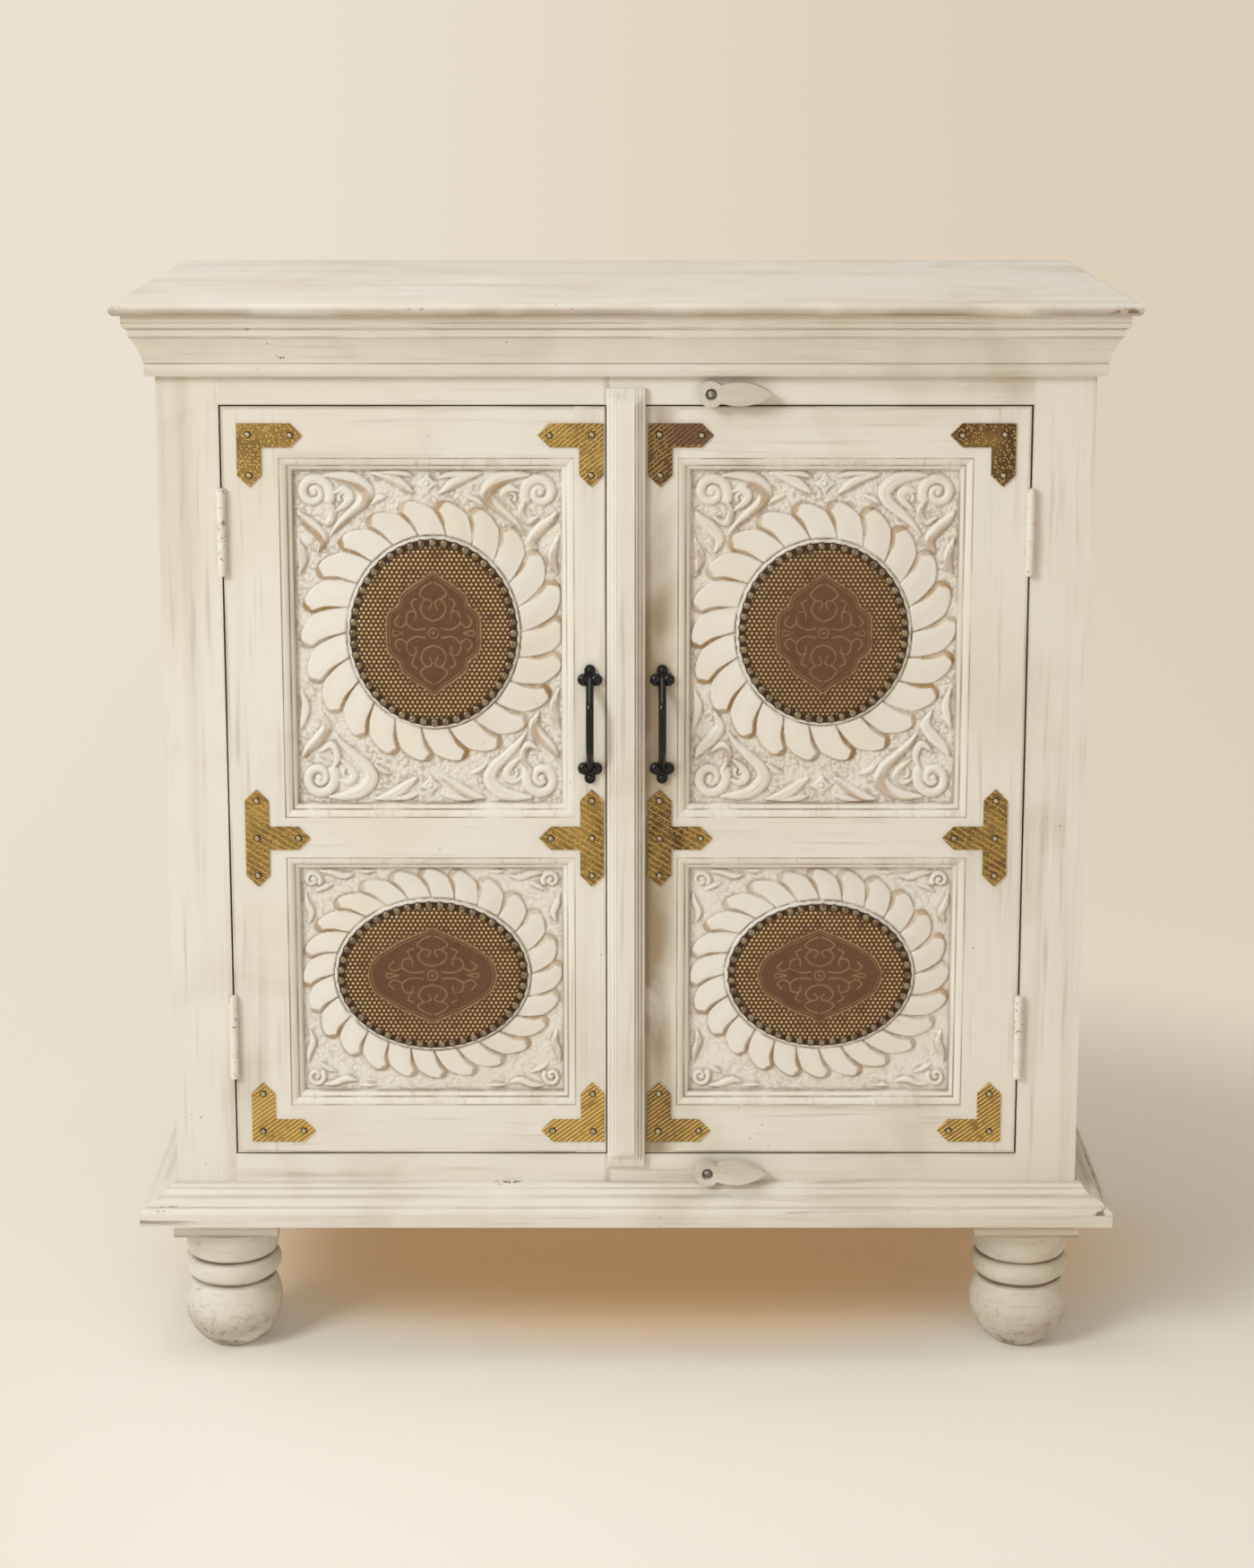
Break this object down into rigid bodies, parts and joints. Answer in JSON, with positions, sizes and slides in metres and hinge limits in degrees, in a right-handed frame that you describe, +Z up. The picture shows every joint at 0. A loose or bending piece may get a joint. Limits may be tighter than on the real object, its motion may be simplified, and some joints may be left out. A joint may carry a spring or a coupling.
{
  "type": "carved cabinet",
  "caption": "Whitewashed wooden cupboard on turned feet, with carved panels, beaten brass medallions and brackets, iron pulls and turn-button latches.",
  "frame": {"origin": "on the floor, under the middle of the top board", "axes": "+Z up, front towards -Y, +X to the right seen from the front"},
  "size_m": [0.9, 0.45, 0.99],
  "materials": {
    "whitewashed_wood": "worn chalky whitewash",
    "inner_wood": "thin wash over bare wood",
    "bracket_brass": "hatched, tarnished",
    "medallion_brass": "beaten, dark patina",
    "tack_bronze": "dark bronze",
    "black_iron": "gloss black",
    "painted_hinge": "painted over, chipped",
    "steel_screw": "dull"
  },
  "bodies": {
    "carcass": {"back_panel": "inner_wood", "base_front": "whitewashed_wood", "base_sides": "whitewashed_wood", "bottom_board": "inner_wood", "corner_blocks": "inner_wood", "crown_front": "whitewashed_wood", "crown_sides": "whitewashed_wood", "door_stop_batten": "inner_wood", "face_rail_bottom": "whitewashed_wood", "face_rail_top": "whitewashed_wood", "face_stile_left": "whitewashed_wood", "face_stile_right": "whitewashed_wood", "foot_front_left": "whitewashed_wood", "foot_front_right": "whitewashed_wood", "foot_pads": "whitewashed_wood", "foot_rear_left": "whitewashed_wood", "foot_rear_right": "whitewashed_wood", "hinge_frame_leaves": "painted_hinge", "hinge_pins": "painted_hinge", "latch_screws": "steel_screw", "shelf": "inner_wood", "shelf_cleats": "inner_wood", "side_panel_left": "whitewashed_wood", "side_panel_right": "whitewashed_wood", "top_board": "whitewashed_wood"},
    "door_left": {"left_bracket_nails": "tack_bronze", "left_brackets": "bracket_brass", "left_handle": "black_iron", "left_handle_screws": "black_iron", "left_hinge_leaves": "painted_hinge", "left_medallion_lower": "medallion_brass", "left_medallion_upper": "medallion_brass", "left_panel_lower": "whitewashed_wood", "left_panel_mouldings": "whitewashed_wood", "left_panel_upper": "whitewashed_wood", "left_rail_bottom": "whitewashed_wood", "left_rail_middle": "whitewashed_wood", "left_rail_top": "whitewashed_wood", "left_stile_inner": "whitewashed_wood", "left_stile_outer": "whitewashed_wood", "left_tacks": "tack_bronze"},
    "door_right": {"right_bracket_nails": "tack_bronze", "right_brackets": "bracket_brass", "right_handle": "black_iron", "right_handle_screws": "black_iron", "right_hinge_leaves": "painted_hinge", "right_medallion_lower": "medallion_brass", "right_medallion_upper": "medallion_brass", "right_panel_lower": "whitewashed_wood", "right_panel_mouldings": "whitewashed_wood", "right_panel_upper": "whitewashed_wood", "right_rail_bottom": "whitewashed_wood", "right_rail_middle": "whitewashed_wood", "right_rail_top": "whitewashed_wood", "right_stile_inner": "whitewashed_wood", "right_stile_outer": "whitewashed_wood", "right_tacks": "tack_bronze", "closing_strip": "whitewashed_wood"},
    "latch_top": {"latch_button_top": "whitewashed_wood"},
    "latch_bottom": {"latch_button_bottom": "whitewashed_wood"}
  },
  "joints": [
    {"name": "door_left_hinge", "type": "hinge", "parent": "carcass", "child": "door_left", "pos_m": [-0.36, -0.194, 0.54825], "axis": [0, 0, -1], "range_deg": [0, 170]},
    {"name": "door_right_hinge", "type": "hinge", "parent": "carcass", "child": "door_right", "pos_m": [0.36, -0.194, 0.54825], "axis": [0, 0, 1], "range_deg": [0, 170]},
    {"name": "latch_top_turn", "type": "hinge", "parent": "carcass", "child": "latch_top", "pos_m": [0.075, -0.2, 0.9083], "axis": [0, 1, 0], "range_deg": [0, 180]},
    {"name": "latch_bottom_turn", "type": "hinge", "parent": "carcass", "child": "latch_bottom", "pos_m": [0.075, -0.2, 0.1845], "axis": [0, -1, 0], "range_deg": [0, 180]}
  ]
}
